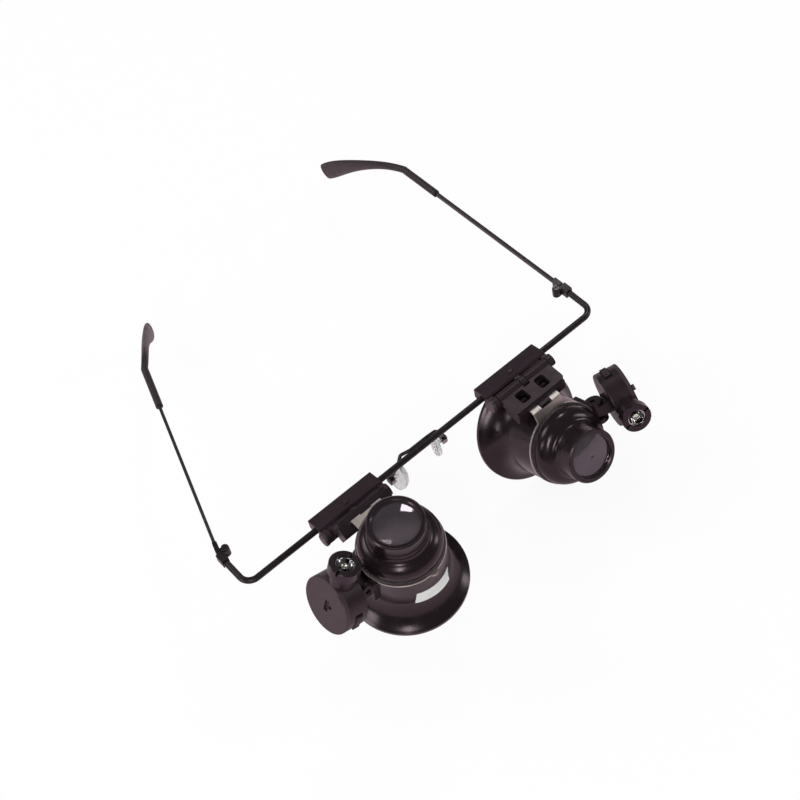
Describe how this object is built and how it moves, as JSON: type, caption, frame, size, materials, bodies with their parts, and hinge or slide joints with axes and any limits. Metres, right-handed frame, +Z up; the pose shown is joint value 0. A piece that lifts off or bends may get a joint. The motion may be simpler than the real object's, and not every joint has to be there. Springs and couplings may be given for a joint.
{
  "type": "lighted magnifier glasses",
  "caption": "Spectacle-style magnifier with a wire frame, loupes that slide and flip up on clips, and a swivelling battery lamp beside each loupe.",
  "frame": {"origin": "middle of the brow bar's axis", "axes": "+X along the brow bar to the right-hand loupe's side, -Y forward (the loupes look that way when worn), +Y back along the open temples, +Z up"},
  "size_m": [0.152, 0.1917, 0.069],
  "materials": {
    "black_plastic": "gloss",
    "clip_plastic": "gloss",
    "tip_plastic": "satin",
    "cover_plastic": "satin",
    "frame_paint": "satin",
    "steel": "satin",
    "dark_steel": "satin",
    "pad_silicone": "clear satin",
    "lens_glass": "polished",
    "label_paper": "matte",
    "reflector_chrome": "polished",
    "led_resin": "clear gloss",
    "cell_steel": "satin",
    "contact_brass": "satin"
  },
  "bodies": {
    "frame": {"bar_wire": "frame_paint", "left_frame_lug": "frame_paint", "right_frame_lug": "frame_paint", "temple_screws": "steel", "bridge_wire": "frame_paint", "left_pad_box": "frame_paint", "right_pad_box": "frame_paint", "pad_screws": "steel"},
    "left_temple": {"left_temple_lug": "frame_paint", "left_temple_strip": "frame_paint", "left_ear_tip": "tip_plastic"},
    "left_pad": {"left_nose_pad": "pad_silicone"},
    "left_clip": {"left_clip_body": "clip_plastic", "left_clip_jaw": "clip_plastic", "left_flip_pin": "dark_steel"},
    "left_flip": {"left_flip_block": "black_plastic", "left_flip_springs": "dark_steel", "left_bracket": "steel", "left_eyecup": "black_plastic", "left_lens_cap": "black_plastic", "left_front_lens": "lens_glass", "left_rear_lens": "lens_glass", "left_lamp_bracket": "black_plastic", "left_arm_pin": "dark_steel", "blank_label": "label_paper"},
    "left_lamp": {"left_lamp_arm": "black_plastic", "left_lamp_case": "black_plastic", "left_led_head": "black_plastic", "left_reflector": "reflector_chrome", "left_led_bulb": "led_resin", "left_coin_cells": "cell_steel", "left_contact_strip": "contact_brass"},
    "left_cover": {"left_battery_cover": "cover_plastic"},
    "left_switch": {"left_switch_slider": "black_plastic"},
    "right_temple": {"right_temple_lug": "frame_paint", "right_temple_strip": "frame_paint", "right_ear_tip": "tip_plastic"},
    "right_pad": {"right_nose_pad": "pad_silicone"},
    "right_clip": {"right_clip_body": "clip_plastic", "right_clip_jaw": "clip_plastic", "right_flip_pin": "dark_steel"},
    "right_flip": {"right_flip_block": "black_plastic", "right_flip_springs": "dark_steel", "right_bracket": "steel", "right_eyecup": "black_plastic", "right_lens_cap": "black_plastic", "right_front_lens": "lens_glass", "right_rear_lens": "lens_glass", "right_lamp_bracket": "black_plastic", "right_arm_pin": "dark_steel"},
    "right_lamp": {"right_lamp_arm": "black_plastic", "right_lamp_case": "black_plastic", "right_led_head": "black_plastic", "right_reflector": "reflector_chrome", "right_led_bulb": "led_resin", "right_coin_cells": "cell_steel", "right_contact_strip": "contact_brass"},
    "right_cover": {"right_battery_cover": "cover_plastic"},
    "right_switch": {"right_switch_slider": "black_plastic"}
  },
  "joints": [
    {"name": "left_temple_fold", "type": "hinge", "parent": "frame", "child": "left_temple", "pos_m": [-0.07215, 0.0151, 0], "axis": [0, 0, -1], "range_deg": [-18.1, 65.9]},
    {"name": "left_pad_rock", "type": "hinge", "parent": "frame", "child": "left_pad", "pos_m": [-0.0133, 0.0052, -0.0129], "axis": [0, 1, 0], "range_deg": [-6, 6]},
    {"name": "left_clip_slide", "type": "slide", "parent": "frame", "child": "left_clip", "axis": [1, 0, 0], "range_m": [-0.015, 0.006]},
    {"name": "left_flip_up", "type": "hinge", "parent": "left_clip", "child": "left_flip", "pos_m": [-0.0338, -0.0057, 0.0018], "axis": [-1, 0, 0], "range_deg": [-85.5, 8]},
    {"name": "left_lamp_aim", "type": "hinge", "parent": "left_flip", "child": "left_lamp", "pos_m": [-0.05055, -0.02895, 0.00745], "axis": [0, 0.9969, 0.0785], "range_deg": [-20, 8]},
    {"name": "left_cover_twist", "type": "hinge", "parent": "left_lamp", "child": "left_cover", "pos_m": [-0.05968, -0.02905, 0.00873], "axis": [-0.9367, -0.0275, 0.3491], "range_deg": [0, 30]},
    {"name": "left_switch_slide", "type": "hinge", "parent": "left_lamp", "child": "left_switch", "pos_m": [-0.05968, -0.02905, 0.00873], "axis": [-0.9367, -0.0275, 0.3491], "range_deg": [0, 6]},
    {"name": "right_temple_fold", "type": "hinge", "parent": "frame", "child": "right_temple", "pos_m": [0.07215, 0.0151, 0], "axis": [0, 0, 1], "range_deg": [-0.6, 89.4]},
    {"name": "right_pad_rock", "type": "hinge", "parent": "frame", "child": "right_pad", "pos_m": [0.0093, 0.0052, -0.0129], "axis": [0, 1, 0], "range_deg": [-6, 6]},
    {"name": "right_clip_slide", "type": "slide", "parent": "frame", "child": "right_clip", "axis": [-1, 0, 0], "range_m": [-0.015, 0.006]},
    {"name": "right_flip_up", "type": "hinge", "parent": "right_clip", "child": "right_flip", "pos_m": [0.0374, -0.0057, 0.0018], "axis": [-1, 0, 0], "range_deg": [-24.7, 65]},
    {"name": "right_lamp_aim", "type": "hinge", "parent": "right_flip", "child": "right_lamp", "pos_m": [0.05415, -0.02198, -0.01573], "axis": [0, -0.4179, -0.9085], "range_deg": [-17, 10]},
    {"name": "right_cover_twist", "type": "hinge", "parent": "right_lamp", "child": "right_cover", "pos_m": [0.06333, -0.02275, -0.01538], "axis": [0.9521, -0.2777, 0.1277], "range_deg": [0, 30]},
    {"name": "right_switch_slide", "type": "hinge", "parent": "right_lamp", "child": "right_switch", "pos_m": [0.06333, -0.02275, -0.01538], "axis": [0.9521, -0.2777, 0.1277], "range_deg": [0, 6]}
  ]
}
